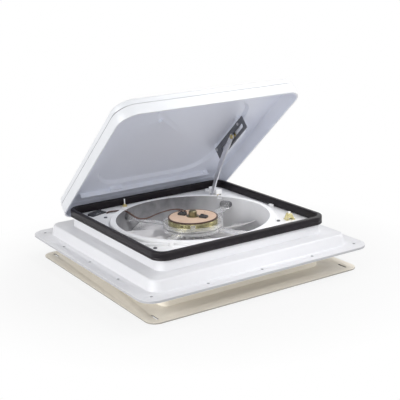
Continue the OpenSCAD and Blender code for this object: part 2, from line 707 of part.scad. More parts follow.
module blade() {
  n = 7;
  pts = concat([for (j = [0:6]) for (k = [0:6]) blade_pt(j, k, true)], [for (j = [0:6]) for (k = [0:6]) blade_pt(j, k, false)]);
  o = 49;
  tops = [for (j = [0:5]) for (k = [0:5]) let (a = j * n + k, b = a + n) each [[a, a + 1, b], [a + 1, b + 1, b]]];
  lows = [for (t = tops) [t[0] + o, t[2] + o, t[1] + o]];
  rim = concat([for (k = [0:5]) k], [for (j = [0:5]) j * n + 6], [for (k = [6:-1:1]) 42 + k], [for (j = [6:-1:1]) j * n]);
  side = [for (i = [0:23]) let (a = rim[i], b = rim[(i + 1) % 24]) each [[a, a + o, b], [b, a + o, b + o]]];
  polyhedron(pts, concat(tops, lows, side), convexity = 6);
}

module fan_rotor() {
  color("lightcyan") difference() {
    union() {
      rotate_extrude($fn = 96) polygon([[hub_r - 3, fan_low + 2], [hub_r, fan_low + 2], [hub_r, fan_top - 2],
        [hub_r - 2, fan_top], [0, fan_top], [0, fan_top - 12], [9, fan_top - 12], [9, fan_top - 3], [hub_r - 3, fan_top - 3]]);
      for (i = [0:blades - 1]) rotate(i * 360 / blades) blade();
    }
    translate([0, 0, fan_low - 1]) cylinder(r = shaft_r + 0.02, h = fan_top - fan_low + 2, $fn = 48);
  }
}

module fan_shaft() {
  color("silver") translate([0, 0, fan_top - 20]) cylinder(r = shaft_r, h = can_top - 4 - fan_top + 20, $fn = 48);
}

module fan_nut() {
  color("silver") translate([0, 0, fan_top - 18]) difference() {
    cylinder(r = 7.5, h = 6, $fn = 6);
    translate([0, 0, -1]) cylinder(r = shaft_r + 0.02, h = 8, $fn = 48);
  }
}

// inside of the vehicle

module inner_panel() {
  color("whitesmoke") difference() {
    rslab(2 * (neck_half - wall_t - 0.3), neck_r - wall_t - 0.3, panel_low, panel_top);
    translate([0, 0, panel_low - 1]) cylinder(r = duct_r, h = panel_t + 2, $fn = 180);
    translate([gear_x, worm_y, panel_low - 1]) cylinder(r = crank_r + 0.1, h = panel_t + 2, $fn = 48);
    translate([-gear_x, worm_y, panel_low - 1]) cylinder(r = 3.1, h = panel_t + 2, $fn = 48);
  }
}

module speed_switch() {
  color("dimgray") difference() {
    translate([-gear_x, worm_y, 0]) box([-14, -7.5, panel_top], [14, 11, panel_top + 16]);
    translate([-gear_x, worm_y, panel_top - 1]) cylinder(r = 3.1, h = 12, $fn = 48);
  }
}

module speed_knob() {
  color("whitesmoke") translate([-gear_x, worm_y, 0]) union() {
    translate([0, 0, knob_low + 2]) cylinder(r = 12, h = 3, $fn = 64);
    translate([0, 0, knob_low + 2]) cylinder(r = 8, h = knob_top - knob_low - 2, $fn = 64);
    translate([0, 0, knob_top - 1]) cylinder(r = 3, h = panel_top + 9 - knob_top, $fn = 48);
    box([-12, -1.6, knob_low + 0.5], [12, 1.6, knob_low + 3]);
  }
}

module screen_frame() {
  color("white") rotate_extrude($fn = 180) polygon([[duct_r - 4, panel_low - 3.5], [duct_r + 8, panel_low - 3.5],
    [duct_r + 8, panel_low], [duct_r - 1.2, panel_low], [duct_r - 1.2, panel_low - 1.2], [duct_r - 4, panel_low - 1.2]]);
}

module screen_net() {
  pitch = 17;
  net_r = duct_r - 1.4;
  color("silver") translate([0, 0, panel_low - 1.2]) linear_extrude(0.9) difference() {
    circle(r = net_r, $fn = 180);
    intersection() {
      circle(r = net_r - 4, $fn = 120);
      for (i = [-9:8]) for (j = [-9:8]) translate([i * pitch + 1, j * pitch + 1]) square(pitch - 2);
    }
  }
}

module garnish() {
  r = 20;
  color("wheat") difference() {
    union() {
      difference() {
        rslab(garnish_w, r, garnish_low, garnish_top);
        rslab(2 * lip_half, 8, garnish_low - 1, garnish_top + 1);
      }
      difference() {
        rslab(2 * collar_half, 16, garnish_top - 1, garnish_top + collar_h);
        rslab(2 * collar_in, 13.4, -neck_drop, garnish_top + collar_h + 1);
        rslab(2 * lip_half, 8, garnish_low - 1, garnish_top + collar_h);
      }
    }
    for (x = [-1, 1]) for (y = [-1, 1]) translate([x * (garnish_w / 2 - 21.2), y * (garnish_w / 2 - 25.2), garnish_low - 1]) {
      for (e = [-9, 9]) translate([0, e, 0]) cylinder(r = 2.2, h = 6, $fn = 32);
      box([-2.2, -9, 0], [2.2, 9, 6]);
    }
  }
}

base_frame();
dome_seal();
fan_shroud();
deck_screws();
deck_bracket();
deck_clips();
rain_sensor();
sensor_tip();
switch_foot();
switch_pin();
lid_shell();
hinge_pins();
slot_plate();
plate_screws();
lift_arm();
slider_pin();
arm_shaft();
lift_gear();
lift_cover();
crank_bearing();
crank_shaft();
crank_knob();
motor_mount();
mount_blocks();
motor_can();
brush_plate();
bearing_cap();
brush_terminals();
brush_spring();
motor_leads();
fan_rotor();
fan_shaft();
fan_nut();
inner_panel();
speed_switch();
speed_knob();
screen_frame();
screen_net();
garnish();
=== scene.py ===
"""Looks of a caravan roof vent with a lifting lid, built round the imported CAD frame.

Finishes and studio are in metres, sub-assemblies in millimetres. +Z is up out of the roof.
"""

import json
import logging
import math
from dataclasses import dataclass, field
from enum import Enum
from functools import partial, reduce
from typing import Iterable, Sequence, Union

import bmesh
import bpy
from mathutils import Matrix, Vector


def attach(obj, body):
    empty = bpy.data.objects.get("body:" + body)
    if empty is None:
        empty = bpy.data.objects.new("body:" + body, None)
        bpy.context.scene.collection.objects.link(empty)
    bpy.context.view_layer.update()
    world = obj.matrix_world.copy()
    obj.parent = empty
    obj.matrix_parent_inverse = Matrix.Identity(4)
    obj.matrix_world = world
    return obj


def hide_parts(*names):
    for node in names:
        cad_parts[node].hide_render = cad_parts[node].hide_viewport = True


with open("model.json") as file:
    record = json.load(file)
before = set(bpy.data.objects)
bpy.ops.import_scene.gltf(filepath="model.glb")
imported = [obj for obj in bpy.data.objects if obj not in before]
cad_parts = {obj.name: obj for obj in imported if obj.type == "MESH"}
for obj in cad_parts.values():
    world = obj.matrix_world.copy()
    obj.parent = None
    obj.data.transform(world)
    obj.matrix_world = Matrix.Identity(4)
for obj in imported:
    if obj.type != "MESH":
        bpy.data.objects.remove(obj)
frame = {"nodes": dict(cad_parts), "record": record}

log = logging.getLogger("roof_vent")
MM = 0.001
MERGE = 1e-6
ON_AXIS = 1e-7
IN_PLANE = 1e-9
MIDDLE = (0.0, 0.0, 0.0)
UP = (0.0, 0.0, 1.0)
WHITE = (1.0, 1.0, 1.0)
Pair = tuple[float, float]
Point = tuple[float, float, float]
Colour = tuple[float, float, float]
Thing = bpy.types.Object
Node = bpy.types.Node
Tree = bpy.types.NodeTree
Socket = bpy.types.NodeSocket
Material = bpy.types.Material
BMesh = bmesh.types.BMesh
BMVert = bmesh.types.BMVert
BMEdge = bmesh.types.BMEdge
BMFace = bmesh.types.BMFace
Value = Union[Socket, float, int, bool, Sequence[float]]
Marks = list[tuple[Socket, Colour]]


# Shader helpers


class Graph:
    """Adds nodes to one shader tree and joins their sockets."""

    def __init__(self, tree: Tree) -> None:
        """Keeps the tree that the nodes go into."""
        self.tree = tree

    def put(self, kind: str, inputs: dict[Union[str, int], Value] | None = None, **settings: object) -> Node:
        """Adds one node.

        Args:
            kind: The node's type without the leading ShaderNode.
            inputs: What goes into its sockets, by name or number: a socket to link, or a plain value.
            **settings: Attributes of the node, such as an operation.

        Returns:
            The new node.
        """
        node = self.tree.nodes.new("ShaderNode" + kind)
        for name, value in settings.items():
            setattr(node, name, value)
        for key, value in (inputs or {}).items():
            self.feed(node.inputs[key], value)
        return node

    def feed(self, socket: Socket, value: Value) -> None:
        """Links a socket to another one, or gives it a plain value.

        Args:
            socket: The input to feed.
            value: A socket, a number, a vector or a colour without alpha.
        """
        if isinstance(value, Socket):
            self.tree.links.new(value, socket)
        elif socket.type == "RGBA":
            socket.default_value = (*value, 1.0)
        else:
            socket.default_value = value

    def coordinate(self, name: str) -> Socket:
        """A coordinate of the surface, such as Object or Normal."""
        return self.put("TexCoord").outputs[name]

    def noise(self, vector: Value, scale: Value, detail: float, distortion: float = 0.0) -> Socket:
        """Cloudy noise between 0 and 1."""
        values = {"Vector": vector, "Scale": scale, "Detail": detail, "Distortion": distortion}
        return self.put("TexNoise", values).outputs["Fac"]

    def mix(self, share: Value, first: Value, second: Value) -> Socket:
        """A colour between two, at the given share of the second."""
        return self.put("Mix", {0: share, 6: first, 7: second}, data_type="RGBA").outputs[2]

    def span(self, value: Value, low: Value, high: Value, start: float = 0.0, end: float = 1.0) -> Socket:
        """A value carried from the stretch start to end onto the stretch low to high, held at both ends."""
        values = {"Value": value, "From Min": start, "From Max": end, "To Min": low, "To Max": high}
        return self.put("MapRange", values).outputs["Result"]

    def rise(self, value: Value, start: float, end: float) -> Socket:
        """0 up to the start, 1 from the end on, and even between them."""
        return self.span(value, 0.0, 1.0, start, end)

    def math(self, operation: str, first: Value, second: Value = 0.0) -> Socket:
        """The result of one sum on two values."""
        return self.put("Math", {0: first, 1: second}, operation=operation).outputs["Value"]

    def times(self, *values: Value) -> Socket:
        """The product of two or more values."""
        return reduce(partial(self.math, "MULTIPLY"), values)

    def less(self, first: Value, second: Value) -> Socket:
        """The first value less the second."""
        return self.math("SUBTRACT", first, second)

    def absolute(self, value: Value) -> Socket:
        """A value without its sign."""
        return self.math("ABSOLUTE", value)

    def stretched(self, vector: Value, scale: Value) -> Socket:
        """A vector scaled by its own amount along each axis."""
        return self.put("Mapping", {"Vector": vector, "Scale": scale}).outputs["Vector"]

    def axes(self, vector: Value) -> list[Socket]:
        """The X, Y and Z parts of a vector."""
        return list(self.put("SeparateXYZ", {0: vector}).outputs)

    def along(self, vector: Value, way: Point) -> Socket:
        """How far a vector goes along a way."""
        return self.put("VectorMath", {0: vector, 1: way}, operation="DOT_PRODUCT").outputs["Value"]

    def length(self, vector: Value) -> Socket:
        """The length of a vector."""
        return self.put("VectorMath", {0: vector}, operation="LENGTH").outputs["Value"]

    def flat_length(self, x: Value, y: Value) -> Socket:
        """The length of a flat vector."""
        return self.length(self.put("CombineXYZ", {"X": x, "Y": y, "Z": 0.0}).outputs[0])

    def past_square(self, x: Value, y: Value, half: float) -> Socket:
        """How far a point lies outside a square of some half width round the middle."""
        past = [self.math("MAXIMUM", self.less(self.absolute(side), half), 0.0) for side in (x, y)]
        return self.flat_length(*past)


class Effect(Enum):
    """The surface effects that several finishes share, each one node group."""

    SKIN = "moulded_skin"
    LINES = "drawn_lines"
    DUST = "settled_dust"


SURFACE_IN = {"Vector": "Vector", "Colour": "Color", "Shade": "Color", "Low": "Float", "High": "Float"}
SURFACE_OUT = {"Colour": "Color", "Roughness": "Float", "Height": "Float"}
DUST_IN = {"Vector": "Vector", "Normal": "Vector", "Colour": "Color", "Dust": "Color", "Amount": "Float"}


class EffectShelf:
    """Makes each shared node group once and lends it to the finishes."""

    def __init__(self) -> None:
        """Starts with no group made."""
        self.made: dict[Effect, Tree] = {}

    def get(self, effect: Effect) -> Tree:
        """The node group of an effect, made on first call.

        Args:
            effect: Which effect is wanted.

        Returns:
            The group's node tree.
        """
        if effect not in self.made:
            {Effect.SKIN: self._skin, Effect.LINES: self._lines, Effect.DUST: self._dust}[effect]()
        return self.made[effect]

    def _open(self, effect: Effect, inputs: dict[str, str],
              outputs: dict[str, str]) -> tuple[Graph, dict[str, Socket], Node]:
        """Starts a group with named sockets and keeps it.

        Args:
            effect: The effect that gives the group its name.
            inputs: Kind of socket by input name.
            outputs: Kind of socket by output name.

        Returns:
            The group's graph, its inputs by name, and its output node.
        """
        tree = self.made[effect] = bpy.data.node_groups.new(effect.value, "ShaderNodeTree")
        for side, sockets in (("INPUT", inputs), ("OUTPUT", outputs)):
            for name, kind in sockets.items():
                tree.interface.new_socket(name=name, in_out=side, socket_type="NodeSocket" + kind)
        given = {s.name: s for s in tree.nodes.new("NodeGroupInput").outputs if s.name}
        return Graph(tree), given, tree.nodes.new("NodeGroupOutput")

    def _skin(self) -> None:
        """Moulded skin: cloudy colour, uneven gloss, and spark-eroded grain with faint flow marks."""
        graph, given, out = self._open(Effect.SKIN, SURFACE_IN | {"Grain": "Float"}, SURFACE_OUT)
        place = given["Vector"]
        cloud = graph.noise(place, scale=14.0, detail=4.0, distortion=0.4)
        flow = graph.noise(graph.stretched(place, (9.0, 30.0, 30.0)), scale=3.0, detail=2.0)
        grain = graph.noise(place, given["Grain"], detail=2.0)
        patch = graph.rise(graph.times(cloud, flow), start=0.12, end=0.42)
        uneven = graph.math("ADD", graph.times(grain, 0.4), graph.times(cloud, 0.6))
        height = graph.math("ADD", graph.times(grain, 0.5), graph.times(flow, 0.5))
        gloss = graph.span(uneven, given["Low"], given["High"], start=0.3, end=0.7)
        graph.feed(out.inputs["Colour"], graph.mix(patch, given["Shade"], given["Colour"]))
        graph.feed(out.inputs["Roughness"], gloss)
        graph.feed(out.inputs["Height"], height)

    def _lines(self) -> None:
        """Drawn metal: fine lines along one way, with stains and scattered scuffs."""
        graph, given, out = self._open(Effect.LINES, SURFACE_IN | {"Lines": "Vector"}, SURFACE_OUT)
        place = given["Vector"]
        line = graph.noise(graph.stretched(place, given["Lines"]), scale=1.0, detail=4.0)
        stain = graph.noise(place, scale=60.0, detail=5.0, distortion=0.8)
        scuff = graph.rise(graph.noise(place, scale=420.0, detail=2.0), start=0.62, end=0.75)
        mottled = graph.math("ADD", graph.times(line, 0.5), graph.times(stain, 0.5))
        share = graph.rise(mottled, start=0.35, end=0.62)
        worn = graph.math("MAXIMUM", line, scuff)
        gloss = graph.span(worn, given["Low"], given["High"], start=0.3, end=0.8)
        graph.feed(out.inputs["Colour"], graph.mix(share, given["Shade"], given["Colour"]))
        graph.feed(out.inputs["Roughness"], gloss)
        graph.feed(out.inputs["Height"], graph.less(line, graph.times(scuff, 0.4)))

    def _dust(self) -> None:
        """Dust that lies on faces that look up and gathers in soft patches."""
        graph, given, out = self._open(Effect.DUST, DUST_IN, {"Colour": "Color"})
        lying = graph.rise(graph.axes(given["Normal"])[2], start=0.2, end=1.0)
        cloud = graph.noise(given["Vector"], scale=38.0, detail=6.0, distortion=0.3)
        share = graph.times(lying, graph.rise(cloud, start=0.45, end=0.75), given["Amount"])
        graph.feed(out.inputs["Colour"], graph.mix(share, given["Colour"], given["Dust"]))


EFFECTS = EffectShelf()


# Finishes


@dataclass(frozen=True)
class Finish:
    """What every finish has: two near colours and two roughnesses to vary between, and even shader values."""

    name: str
    colour: Colour
    shade: Colour
    gloss: Pair
    grain: float = 1500.0
    depth: float = 6e-5
    bump: float = 0.5
    specular: float = 0.5
    metallic: float = 0.0
    transmission: float = 0.0
    ior: float = 1.5

    def group(self) -> tuple[Effect, dict[str, Value]]:
        """The shared group that gives the surface, and what goes into its own socket."""
        return Effect.SKIN, {"Grain": self.grain}

    def coloured(self, graph: Graph, place: Socket, colour: Socket) -> Socket:
        """The surface's colour with what lies on it; here nothing does."""
        return colour

    def material(self) -> Material:
        """Makes the finished material.

        Returns:
            A material with the finish's groups in front of its shader.
        """
        material = bpy.data.materials.new(self.name)
        material.use_nodes = True
        graph = Graph(material.node_tree)
        shader = material.node_tree.nodes["Principled BSDF"]
        place = graph.coordinate("Object")
        effect, own = self.group()
        low, high = self.gloss
        inputs = {"Vector": place, "Colour": self.colour, "Shade": self.shade, "Low": low, "High": high}
        surface = graph.put("Group", inputs | own, node_tree=EFFECTS.get(effect)).outputs
        bump = graph.put("Bump", {"Height": surface["Height"], "Distance": self.depth, "Strength": self.bump})
        values = {
            "Base Color": self.coloured(graph, place, surface["Colour"]), "Roughness": surface["Roughness"],
            "Normal": bump.outputs["Normal"], "Specular IOR Level": self.specular, "Metallic": self.metallic,
            "Transmission Weight": self.transmission, "IOR": self.ior}
        for socket, value in values.items():
            graph.feed(shader.inputs[socket], value)
        return material


@dataclass(frozen=True)
class Moulded(Finish):
    """Moulded plastic or rubber, with a little dust where it looks up."""

    dust: Colour = (0.62, 0.6, 0.57)
    dust_amount: float = 0.12

    def coloured(self, graph: Graph, place: Socket, colour: Socket) -> Socket:
        """The skin's colour under its dust and marks.

        Args:
            graph: The material's graph.
            place: Object coordinates.
            colour: The bare skin's colour.

        Returns:
            The dusted and marked colour.
        """
        inputs = {"Vector": place, "Normal": graph.coordinate("Normal"), "Colour": colour,
                  "Dust": self.dust, "Amount": self.dust_amount}
        colour = graph.put("Group", inputs, node_tree=EFFECTS.get(Effect.DUST)).outputs["Colour"]
        for share, mark in self.marks(graph, place):
            colour = graph.mix(share, colour, mark)
        return colour

    def marks(self, graph: Graph, place: Socket) -> Marks:
        """The finish's own marks from the lowest up, each a share and a colour; the plain one has none."""
        return []


@dataclass(frozen=True)
class TrimSkin(Moulded):
    """Plastic whose thin upright outer edge is darkened with painted shade."""

    rim: float = 0.2
    rim_share: float = 0.75
    # painted shade: dark grey on the upright outer edge, where shade falls under the rim
    painted_shade: Colour = (0.17, 0.16, 0.15)

    def marks(self, graph: Graph, place: Socket) -> Marks:
        """Painted shade on the upright edge of the flat outer rim.

        Args:
            graph: The material's graph.
            place: Object coordinates.

        Returns:
            The one mark.
        """
        x, y, _ = graph.axes(place)
        outward = graph.math("MAXIMUM", graph.absolute(x), graph.absolute(y))
        tilt = graph.absolute(graph.axes(graph.coordinate("Normal"))[2])
        upright = graph.span(tilt, self.rim_share, 0.0, start=0.1, end=0.5)
        # the upright outer edge gets the painted shade
        return [(graph.times(upright, graph.math("GREATER_THAN", outward, self.rim)), self.painted_shade)]


@dataclass(frozen=True)
class FlangeSkin(TrimSkin):
    """Shell plastic with painted light on the deck and throat under the lid, and painted shade on its outer
    edge and in and round the flange's screw holes.
    """

    rim: float = 0.231
    rim_share: float = 0.45
    # painted shade on the flange's upright edge and in and round its screw holes
    painted_shade: Colour = (0.16, 0.165, 0.18)
    side: float = 0.2268
    step: float = 0.1134
    corner: float = 0.2206
    spot: float = 0.0031
    spot_core: float = 0.75
    spot_share: float = 0.9
    throat: float = 0.1775
    throat_corner: float = 0.0185
    deck: float = 0.036
    # painted light: a whiter colour for the deck and throat under the lid, against the lid's shade
    painted_light: Colour = (0.94, 0.94, 0.945)

    def marks(self, graph: Graph, place: Socket) -> Marks:
        """The painted light in the throat, and the painted shade on the edge and at the screw holes.

        Args:
            graph: The material's graph.
            place: Object coordinates.

        Returns:
            The marks from the lowest up.
        """
        x, y, z = graph.axes(place)
        past = graph.past_square(x, y, self.throat - self.throat_corner)
        within = graph.math("LESS_THAN", past, self.throat_corner)
        # where the painted light goes: inside the throat, above the deck's level
        under_lid = graph.times(within, graph.math("GREATER_THAN", z, self.deck))
        # painted shade in and round the screw holes, darkest in them
        x, y = graph.absolute(x), graph.absolute(y)
        away = graph.flat_length(graph.less(x, self.corner), graph.less(y, self.corner))
        half_step = self.step / 2
        for across, along in ((x, y), (y, x)):
            off = graph.less(graph.absolute(graph.less(along, half_step)), half_step)
            away = graph.math("MINIMUM", away, graph.flat_length(graph.less(across, self.side), off))
        share = graph.span(away, self.spot_share, 0.0, self.spot_core * self.spot, self.spot)
        return [(under_lid, self.painted_light), *super().marks(graph, place), (share, self.painted_shade)]


@dataclass(frozen=True)
class DuctSkin(Moulded):
    """Shroud plastic with painted shade on the duct's wall: a dark patchy film under the rim, darkest at the
    rear and left and towards the rim.
    """

    radius: float = 0.1506
    top: float = 0.0497
    fade: float = 0.0005
    way: Point = (-0.55, 0.8, 0.0)
    ends: Pair = (-0.05, 0.07)
    # painted shade: a near-black patchy film on the duct's wall, where the lid's shade falls
    duct_wall_shade: Colour = (0.075, 0.073, 0.085)
    duct_wall_shade_share: float = 0.95
    shade_patch_low: float = 0.88
    deep: float = -0.02
    deep_share: float = 0.7

    def marks(self, graph: Graph, place: Socket) -> Marks:
        """The painted shade on the duct's wall.

        Args:
            graph: The material's graph.
            place: Object coordinates.

        Returns:
            The one mark.
        """
        x, y, z = graph.axes(place)
        inside = graph.span(graph.flat_length(x, y), 1.0, 0.0, self.radius, self.radius + self.fade)
        below = graph.span(z, 1.0, 0.0, self.top - self.fade, self.top)
        rear = graph.span(graph.along(place, self.way), 0.0, self.duct_wall_shade_share, *self.ends)
        cloud = graph.noise(place, scale=45.0, detail=5.0, distortion=0.4)
        patch = graph.span(cloud, self.shade_patch_low, 1.0, start=0.35, end=0.65)
        high = graph.span(z, self.deep_share, 1.0, self.deep, self.top)
        # the painted shade: inside the duct, under the rim, strongest at the rear-left and near the top
        share = graph.times(inside, below, rear, patch, high)
        return [(share, self.duct_wall_shade)]


@dataclass(frozen=True)
class LidSkin(Moulded):
    """Lid plastic with painted shade along the groove round its skirt, stronger on the sides than at the
    front, and a painted cool shade tint on its inside.
    """

    hinge: Point = (0.0, 0.2013, 0.0335)
    open_angle: float = 40.2
    half: float = 0.196
    corner: float = 0.0368
    groove: float = 0.0163
    groove_half: float = 0.0012
    groove_core: float = 0.7
    groove_share: float = 0.95
    outer_depth: float = 0.0024
    front_share: float = 0.3
    turn_in: Pair = (0.6, 0.1)
    # painted shade: a dark line in the skirt's groove, where shade falls in the recess
    painted_shade: Colour = (0.1, 0.1, 0.115)
    # painted shade tint: a cooler, bluer colour on the lid's inside faces, for the colour of the shade there
    inner: Colour = (0.8, 0.83, 0.93)

    def marks(self, graph: Graph, place: Socket) -> Marks:
        """The painted cool shade tint inside and the painted shade in the groove.

        Args:
            graph: The material's graph.
            place: Object coordinates, in which the lid stands open.

        Returns:
            The marks from the lowest up.
        """
        turn = math.radians(self.open_angle)
        from_hinge = graph.put("VectorMath", {0: place, 1: self.hinge}, operation="SUBTRACT").outputs[0]
        shut = graph.put("Mapping", {"Vector": from_hinge, "Rotation": (turn, 0.0, 0.0)}).outputs["Vector"]
        x, y, z = graph.axes(shut)
        outward = graph.past_square(x, graph.math("ADD", y, self.hinge[1]), self.half - self.corner)
        outside = graph.math("GREATER_THAN", outward, self.corner - self.outer_depth)
        # the inside faces, which get the painted cool shade tint
        facing = graph.along(graph.coordinate("Normal"), (0.0, -math.sin(turn), -math.cos(turn)))
        inside = graph.times(graph.rise(facing, start=-0.2, end=0.2), graph.less(1.0, outside))
        # painted shade in the groove, weaker at the front than on the sides
        off = graph.absolute(graph.less(z, self.groove))
        line = graph.span(off, self.groove_share, 0.0, self.groove_core * self.groove_half, self.groove_half)
        start, end = (self.half - share * self.corner for share in self.turn_in)
        sides = graph.span(graph.absolute(x), self.front_share, 1.0, start, end)
        return [(inside, self.inner), (graph.times(line, outside, sides), self.painted_shade)]


@dataclass(frozen=True)
class Board(Moulded):
    """Pressed fibre board with a dark sealed edge and darker flecks."""

    edge: Colour = (0.07, 0.035, 0.025)
    edge_radius: float = 0.0462
    edge_fade: float = 0.0004
    fleck: Colour = (0.46, 0.29, 0.18)
    fleck_share: float = 0.5
    fibres: Point = (300.0, 900.0, 300.0)

    def marks(self, graph: Graph, place: Socket) -> Marks:
        """The flecks and the dark edge.

        Args:
            graph: The material's graph.
            place: Object coordinates.

        Returns:
            The marks from the lowest up.
        """
        x, y, _ = graph.axes(place)
        fibre = graph.noise(graph.stretched(place, self.fibres), scale=1.0, detail=2.0)
        share = graph.span(fibre, 0.0, self.fleck_share, start=0.58, end=0.7)
        start, end = self.edge_radius - self.edge_fade, self.edge_radius + self.edge_fade
        sealed = graph.rise(graph.flat_length(x, y), start, end)
        return [(share, self.fleck), (sealed, self.edge)]


@dataclass(frozen=True)
class Drawn(Finish):
    """Drawn, plated or blackened metal with lines along one way."""

    depth: float = 3e-5
    bump: float = 0.4
    metallic: float = 1.0
    lines: Point = (40.0, 1800.0, 1800.0)

    def group(self) -> tuple[Effect, dict[str, Value]]:
        """The line group, and how far its lines are drawn out along each axis."""
        return Effect.LINES, {"Lines": self.lines}


@dataclass(frozen=True)
class Clear(Finish):
    """See-through plastic with a tint, faint flow marks and an uneven gloss."""

    grain: float = 500.0
    depth: float = 3e-5
    bump: float = 0.3
    transmission: float = 0.4


FINISHES: dict[str, Finish] = {finish.name: finish for finish in (
    FlangeSkin("white_shell", (0.79, 0.793, 0.82), (0.765, 0.768, 0.8), (0.28, 0.4), 1500.0, 4e-5,
               dust_amount=0.05),
    LidSkin("lid_white", (0.77, 0.785, 0.815), (0.75, 0.765, 0.795), (0.29, 0.35), 1100.0, 3e-5,
            dust_amount=0.03),
    DuctSkin("shroud_white", (0.92, 0.92, 0.93), (0.89, 0.89, 0.9), (0.36, 0.5), 1700.0, dust_amount=0.06),
    Moulded("seal_rubber", (0.009, 0.007, 0.009), (0.013, 0.01, 0.013), (0.3, 0.42), 1900.0, 5e-5,
            specular=0.2, dust=(0.1, 0.095, 0.09), dust_amount=0.04),
    Moulded("grey_rubber", (0.16, 0.16, 0.175), (0.12, 0.12, 0.13), (0.4, 0.55), 1500.0, 5e-5, specular=0.4),
    Moulded("black_plastic", (0.02, 0.02, 0.022), (0.035, 0.035, 0.037), (0.4, 0.55), specular=0.45,
            dust=(0.2, 0.2, 0.2), dust_amount=0.1),
    Moulded("yellow_foot", (0.74, 0.62, 0.3), (0.66, 0.54, 0.24), (0.3, 0.42), 1200.0),
    Moulded("knob_white", (0.78, 0.78, 0.77), (0.72, 0.72, 0.71), (0.34, 0.48)),
    TrimSkin("beige", (0.94, 0.885, 0.775), (0.9, 0.84, 0.73), (0.4, 0.55), 1800.0, 7e-5, dust_amount=0.06),
    Moulded("brown", (0.1, 0.045, 0.03), (0.065, 0.03, 0.022), (0.32, 0.46), 1400.0),
    Board("tan_board", (0.74, 0.55, 0.42), (0.66, 0.47, 0.34), (0.45, 0.6), 1600.0),
    Drawn("steel", (0.62, 0.62, 0.64), (0.47, 0.47, 0.49), (0.26, 0.44)),
    Drawn("arm_steel", (0.86, 0.86, 0.88), (0.74, 0.74, 0.77), (0.3, 0.46)),
    Drawn("dark_steel", (0.2, 0.205, 0.225), (0.14, 0.145, 0.16), (0.34, 0.5), metallic=0.7),
    Drawn("brass", (0.68, 0.57, 0.27), (0.5, 0.41, 0.17), (0.24, 0.42)),
    Drawn("aged_brass", (0.27, 0.24, 0.14), (0.15, 0.135, 0.085), (0.28, 0.46)),
    Drawn("bracket_steel", (0.1, 0.102, 0.116), (0.068, 0.07, 0.08), (0.36, 0.5), metallic=0.7),
    Drawn("zinc_can", (0.7, 0.64, 0.35), (0.52, 0.49, 0.28), (0.18, 0.3), lines=(260.0, 260.0, 1900.0)),
    Drawn("net_wire", (0.95, 0.94, 0.95), (0.82, 0.81, 0.82), (0.4, 0.6), metallic=0.1),
    Clear("clear_plastic", (0.985, 0.985, 0.99), (0.95, 0.95, 0.96), (0.07, 0.16), ior=1.4,
          transmission=0.78),
    Clear("blade_plastic", (0.93, 0.92, 0.925), (0.88, 0.87, 0.875), (0.24, 0.36), ior=1.2),
    Clear("amber", (0.97, 0.9, 0.52), (0.93, 0.83, 0.4), (0.08, 0.2), depth=8e-5, ior=1.46),
)}


class Wardrobe:
    """Keeps one material for each finish and hands it out."""

    def __init__(self) -> None:
        """Starts with no material made."""
        self.made: dict[str, Material] = {}

    def get(self, name: str) -> Material:
        """The material of a finish, made on first call.

        Args:
            name: The finish's name.

        Returns:
            Its one material.
        """
        if name not in self.made:
            self.made[name] = FINISHES[name].material()
        return self.made[name]

    def dress(self, piece: Thing, name: str) -> None:
        """Gives a piece one finish in place of whatever it has."""
        piece.data.materials.clear()
        piece.data.materials.append(self.get(name))


WARDROBE = Wardrobe()


# Mesh helpers


def unique(items: Iterable) -> list:
    """The items once each, in order."""
    return list(dict.fromkeys(items))


def only(items: Iterable, kind: type) -> list:
    """The items of one kind, in order."""
    return [item for item in items if isinstance(item, kind)]


def settle(name: str, mesh: BMesh) -> bpy.types.Mesh:
    """Turns a drawn mesh into a data block.

    Args:
        name: The block's name.
        mesh: The drawn mesh; it is freed.

    Returns:
        The block.
    """
    data = bpy.data.meshes.new(name)
    mesh.to_mesh(data)
    mesh.free()
    return data


def link(name: str, data: bpy.types.ID) -> Thing:
    """Adds an object to the scene.

    Args:
        name: The object's name.
        data: Its mesh, lamp or camera.

    Returns:
        The object.
    """
    thing = bpy.data.objects.new(name, data)
    bpy.context.scene.collection.objects.link(thing)
    return thing


def add_piece(name: str, mesh: BMesh, body: str, slot: str, node: str, sharp: float,
              finish: str = "") -> None:
    """Makes a finished piece of a mesh and sets it on its body.

    Args:
        name: The piece's name.
        mesh: The mesh, in the shared frame; it is freed.
        body: The CAD body that carries the piece.
        slot: The record's material slot, which is also the finish where none is named.
        node: The CAD node that the piece stands for.
        sharp: Angle in degrees over which an edge is shaded sharp.
        finish: A finish of its own, other than the slot's.
    """
    for edge in mesh.edges:
        edge.smooth = not edge.is_manifold or edge.calc_face_angle(0.0) < math.radians(sharp)
    for face in mesh.faces:
        face.smooth = True
    piece = link(name, settle(name, mesh))
    WARDROBE.dress(piece, finish or slot)
    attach(piece, body)
    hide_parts(node)
    log.info("%s: %d faces on %s, stands for %s", name, len(piece.data.polygons), body, node)


def close_up(mesh: BMesh, reach: float = MERGE) -> None:
    """Merges doubles and turns every face outwards."""
    bmesh.ops.remove_doubles(mesh, verts=mesh.verts, dist=reach)
    bmesh.ops.recalc_face_normals(mesh, faces=mesh.faces)


def ease(mesh: BMesh, parts: list[Union[BMVert, BMEdge]], offset: float, steps: int,
         kind: str = "EDGES") -> None:
    """Rounds edges, or corners where the kind is VERTICES, by an offset in millimetres."""
    bmesh.ops.bevel(mesh, geom=parts, offset=offset * MM, offset_type="OFFSET", affect=kind, segments=steps,
                    profile=0.5, material=-1)


